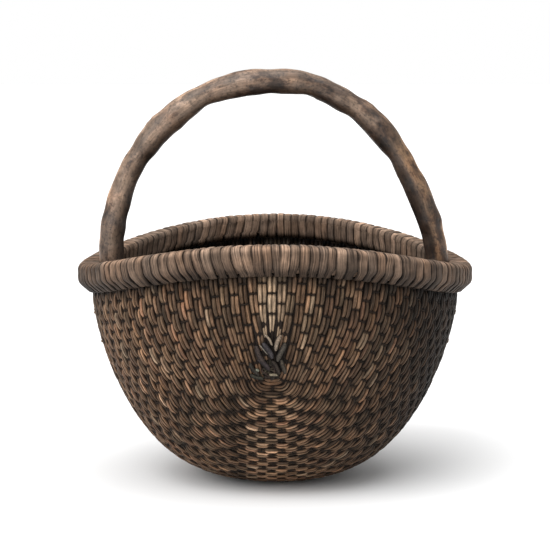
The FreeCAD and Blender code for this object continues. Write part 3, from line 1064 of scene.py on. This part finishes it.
class BranchPlaces:
    """Where each vertex of the branch lies: s along it, and turn round it from the arch's outside."""

    def __init__(self, points):
        angle = np.arctan2(points[:, 2] - ARCH_CENTRE_Z, -points[:, 0])
        bins = np.linspace(angle.min(), angle.max(), ARCH_PARTS + 1)
        which = np.clip(np.digitize(angle, bins) - 1, 0, ARCH_PARTS - 1)
        weight = np.maximum(np.bincount(which, minlength=ARCH_PARTS), 1)
        line = np.stack([np.bincount(which, points[:, k], ARCH_PARTS) / weight for k in range(3)], axis=-1)
        line = relax(line, 6)
        self.run = length_along(line)
        self.angles = (bins[:-1] + bins[1:]) / 2
        middle = interpolate(angle, self.angles, line)
        self.s = np.interp(angle, self.angles, self.run)
        outward = unit(np.stack([middle[:, 0], np.zeros(len(angle)), middle[:, 2] - ARCH_CENTRE_Z], axis=-1))
        radial = points - middle
        self.turn = np.arctan2(radial[:, 1], np.sum(radial * outward, axis=1))

    def from_knot(self, knot_angle, knot_turn, size):
        """Distance from a knot, in knot sizes."""
        knot_s = np.interp(math.radians(knot_angle), self.angles, self.run)
        around = (self.turn - math.radians(knot_turn) + math.pi) % (2 * math.pi) - math.pi
        return np.hypot((self.s - knot_s) / size, around * BRANCH_RADIUS / size)


def branch_bumps(at, rng):
    """How far the branch stands out from its CAD shape: whittled facets, small waves and knots."""
    bump = np.zeros(len(at.s))
    for lobes in (2, 3, 5):
        drift = Wander(rng, 120e-3)(at.s) * 1.4
        depth = 0.35 * MM / lobes**0.5
        bump += depth * np.cos(lobes * at.turn + drift) * (1 + 0.5 * Wander(rng, 70e-3)(at.s))
    bump += 0.22 * MM * Wander(rng, 22e-3)(at.s)
    for knot_angle, knot_turn, size, height in KNOTS:
        r = at.from_knot(knot_angle, knot_turn, size)
        bump += height * (np.exp(-(r**2)) - 0.75 * np.exp(-((r / 0.35) ** 2)))
    return bump


def branch_colours(at, x, rng):
    """Pale on the arch's outside as a painted highlight, golden on the right leg, dark on its inside as
    painted shade, in knots and in blotches, and darker towards the right as painted shade.
    """
    outside = np.cos(at.turn)
    shade = 1.0 + 0.14 * Wander(rng, 80e-3)(at.s) + 0.10 * Wander(rng, 25e-3)(at.s) * np.cos(at.turn + 1)
    # painted shade towards the right, and a painted highlight on the arch's outside
    shade *= 1.0 - 0.42 * smooth_step((x + 80 * MM) / (220 * MM))
    shade *= 1.0 + 0.3 * outside + 0.35 * smooth_step((outside - 0.75) / 0.25)
    right_leg = smooth_step((x - 95 * MM) / (50 * MM))
    golden = (0.8 * right_leg * smooth_step(outside + 0.7))[:, None]
    base = (BRANCH_TAN * (1.0 - golden) + BRANCH_GOLD * golden) * shade[:, None]
    dark = 0.55 * smooth_step((Wander(rng, 60e-3)(at.s) + Wander(rng, 1.7)(at.turn) - 1.1) / 1.2)
    for knot_angle, knot_turn, size, _ in KNOTS:
        r = at.from_knot(knot_angle, knot_turn, size)
        dark = np.maximum(dark, np.exp(-((r / 0.5) ** 2)) * 0.8)
    # painted shade on the arch's inside and on the inner side of the right leg
    inner = 0.72 * smooth_step(0.15 - outside)
    inner_right = 0.88 * right_leg * smooth_step((0.05 - outside) / 0.35)
    dark = np.maximum(dark, np.maximum(inner, inner_right))[:, None]
    return base * (1 - dark) + BRANCH_DARK * dark


def build_handle():
    """The branch, remeshed from its CAD node, with knots, whittled facets and grain."""
    rng = np.random.default_rng(5)
    piece = remeshed(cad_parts["handle_branch"], "bent_branch_handle", 1.15 * MM)
    mesh = piece.data
    points = vertex_vectors(mesh, "co")
    normals = vertex_vectors(mesh, "normal")
    at = BranchPlaces(points)
    points = points + normals * branch_bumps(at, rng)[:, None]
    mesh.vertices.foreach_set("co", points.astype(np.float32).ravel())
    colours = branch_colours(at, points[:, 0], rng)
    around = (np.cos(at.turn) * BRANCH_RADIUS, np.sin(at.turn) * BRANCH_RADIUS)
    set_attributes(mesh, colours, np.stack([around[0], at.s, around[1]], axis=-1))
    mesh.polygons.foreach_set("use_smooth", np.ones(len(mesh.polygons), dtype=bool))
    mesh.materials.clear()
    wood = (600.0, (1.0, 0.12, 1.0), 320.0, 0.42, 0.35 * MM, 0.5)
    mesh.materials.append(fibre_material("worn_branch", *wood, streak=(0.72, 1.2), bark=True))
    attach(piece, "root")
    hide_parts("handle_branch")


# Knots on the branch: angle round the arch from the left, turn round the branch from outside, size, height
KNOTS = [
    (34.0, -50.0, 9 * MM, 1.6 * MM),
    (52.0, 0.0, 8 * MM, 2.0 * MM),
    (58.0, 150.0, 9 * MM, 1.8 * MM),
    (83.0, -110.0, 7 * MM, 1.2 * MM),
    (102.0, 165.0, 8 * MM, 1.6 * MM),
    (118.0, 10.0, 8 * MM, 1.8 * MM),
    (124.0, -80.0, 7 * MM, 1.4 * MM),
    (141.0, 170.0, 8 * MM, 1.6 * MM),
    (160.0, -40.0, 7 * MM, 1.2 * MM),
]


# ---- plain CAD nodes that stay
CORE_NODES = ("rim_outer_hoop", "rim_inner_splint", "rim_filler_rod", "handle_peg_left", "handle_peg_right")


def dress_core():
    """The rim's core and the pegs keep their CAD shape and get a wood material."""
    material, tree, shader = make_material("aged_core_wood")
    place = node(tree, "ShaderNodeTexCoord")
    streaks = noise(tree, place.outputs["Object"], 120.0, 5.0, 0.6, (1.0, 1.0, 3.0))
    colour = ramp(tree, streaks, [(0.25, tuple(linear(52, 40, 32))), (0.75, tuple(linear(104, 80, 60)))])
    tree.links.new(colour, shader.inputs["Base Color"])
    tree.links.new(ramp(tree, streaks, [(0.2, 0.8), (0.8, 0.55)]), shader.inputs["Roughness"])
    tree.links.new(bump_layer(tree, streaks, 1.0, 0.4 * MM), shader.inputs["Normal"])
    for name in CORE_NODES:
        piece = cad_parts[name]
        piece.data.materials.clear()
        piece.data.materials.append(material)


# ---- lashings
LASHING_RADIUS = 1.5 * MM
LASHING_TURNS = 3
LASHING_CORNER = 0.45  # how square each turn is: 1 would be an ellipse
LASHING_STEP = 0.9 * MM
PLIES = 3
PLY_PITCH = 5.5 * MM  # the length of one twist
PLY_SIDES = 7


def lashing_path(lo, hi):
    """The cord's middle line: squarish turns along the CAD's rings."""
    centre = (Vector(lo) + Vector(hi)) / 2
    half_x = (hi[0] - lo[0]) / 2 - LASHING_RADIUS
    half_y = (hi[1] - lo[1]) / 2 - LASHING_RADIUS
    pitch = ((hi[2] - lo[2]) - 2 * LASHING_RADIUS) / (LASHING_TURNS - 1)
    a = np.linspace(0, 2 * math.pi * LASHING_TURNS, 90 * LASHING_TURNS)
    x = centre.x + half_x * np.sign(np.cos(a)) * np.abs(np.cos(a)) ** LASHING_CORNER
    y = centre.y + half_y * np.sign(np.sin(a)) * np.abs(np.sin(a)) ** LASHING_CORNER
    z = lo[2] + LASHING_RADIUS + (a / (2 * math.pi) - 0.5) * pitch
    _, (path,) = resample(np.stack([x, y, z], axis=-1), LASHING_STEP)
    return relax(path, 4)


def build_lashings():
    """Twisted hemp cord round each leg, along the rings of the CAD."""
    rng = np.random.default_rng(77)
    material = fibre_material("lashing_hemp", 1500.0, (1.0, 0.4, 1.0), 400.0, 0.85, 0.25 * MM, 0.2)
    for name in sorted(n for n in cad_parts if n.startswith("handle_lashing")):
        builder = MeshBuilder()
        path = lashing_path(*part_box(name))
        tangent = tangents(path)
        side = unit(np.cross(tangent, np.broadcast_to([0, 0, 1.0], tangent.shape)))
        up = np.cross(side, tangent)
        run = np.arange(len(path)) * LASHING_STEP
        radius = np.full(len(path), 0.82 * MM)
        for ply in range(PLIES):
            twist = run / PLY_PITCH * 2 * math.pi + ply * 2 * math.pi / PLIES
            line = path + 0.72 * MM * (np.cos(twist)[:, None] * side + np.sin(twist)[:, None] * up)
            ply_tangent = tangents(line)
            ply_side = unit(np.cross(ply_tangent, up))
            ply_up = np.cross(ply_side, ply_tangent)
            points = tube_points(line, ply_up, ply_side, radius, PLY_SIDES)
            grains = np.zeros(points.shape)
            grains[..., 0] = np.arange(PLY_SIDES)[None, :] * 0.4 * MM + ply
            grains[..., 1] = run[:, None]
            tone = linear(120, 98, 72) * rng.uniform(0.8, 1.1)
            builder.add(points, tube_quads(len(path), PLY_SIDES), tone, grains)
        builder.build(name.replace("handle_lashing", "hemp_lashing"), material, [name])


# ---- floor, light and camera
CAMERA_ELEVATION = 6.5  # degrees
CAMERA_DISTANCE = 2.1
CAMERA_LENS = 124.7
AIM_HEIGHT = 0.2225


def build_stage():
    mesh = bpy.data.meshes.new("floor")
    reach = 30.0
    corners = [(-reach, -reach, 0), (reach, -reach, 0), (reach, reach, 0), (-reach, reach, 0)]
    mesh.from_pydata(corners, [], [(0, 1, 2, 3)])
    floor = bpy.data.objects.new("floor", mesh)
    bpy.context.scene.collection.objects.link(floor)
    material, _, shader = make_material("pale_floor")
    shader.inputs["Base Color"].default_value = (0.93, 0.93, 0.93, 1)
    shader.inputs["Roughness"].default_value = 0.9
    shader.inputs["Specular IOR Level"].default_value = 0.1
    mesh.materials.append(material)


def sun_light(name, toward, energy, softness):
    """A distant soft light that shines along toward; softness is its apparent size in degrees."""
    light = bpy.data.lights.new(name, "SUN")
    light.energy = energy
    light.angle = math.radians(softness)
    lamp = bpy.data.objects.new(name, light)
    lamp.rotation_euler = Vector(toward).to_track_quat("-Z", "Y").to_euler()
    bpy.context.scene.collection.objects.link(lamp)


def background(tree, strength):
    """A white background of a given strength."""
    made = node(tree, "ShaderNodeBackground")
    made.inputs["Strength"].default_value = strength
    made.inputs["Color"].default_value = (1.0, 1.0, 1.0, 1.0)
    return made.outputs["Background"]


def build_lights():
    """A world that lights softly but is seen as white, and two soft suns from the front left and the top."""
    world = bpy.data.worlds.new("studio")
    bpy.context.scene.world = world
    world.use_nodes = True
    tree = world.node_tree
    tree.nodes.clear()
    output = node(tree, "ShaderNodeOutputWorld")
    path = node(tree, "ShaderNodeLightPath")
    mix = node(tree, "ShaderNodeMixShader")
    tree.links.new(path.outputs["Is Camera Ray"], mix.inputs["Fac"])
    tree.links.new(background(tree, 0.56), mix.inputs[1])
    tree.links.new(background(tree, 1.0), mix.inputs[2])
    tree.links.new(mix.outputs["Shader"], output.inputs["Surface"])
    sun_light("key", (0.55, 0.6, -0.62), 2.1, 60)
    sun_light("top", (0.0, 0.2, -1.0), 1.9, 60)


def build_camera():
    lo, hi = CAD_BOX
    elevation = math.radians(CAMERA_ELEVATION)
    aim = Vector(((lo[0] + hi[0]) / 2, (lo[1] + hi[1]) / 2, lo[2] + AIM_HEIGHT))
    back = Vector((0, -math.cos(elevation), math.sin(elevation)))
    data = bpy.data.cameras.new("camera")
    data.lens = CAMERA_LENS
    data.sensor_width = 36.0
    camera = bpy.data.objects.new("camera", data)
    camera.location = aim + back * CAMERA_DISTANCE
    camera.rotation_euler = (-back).to_track_quat("-Z", "Y").to_euler()
    bpy.context.scene.collection.objects.link(camera)
    bpy.context.scene.camera = camera
    bpy.context.scene.view_settings.view_transform = "Standard"


build_camera()
build_stage()
build_lights()
build_weave()
build_binding()
build_handle()
build_lashings()
dress_core()
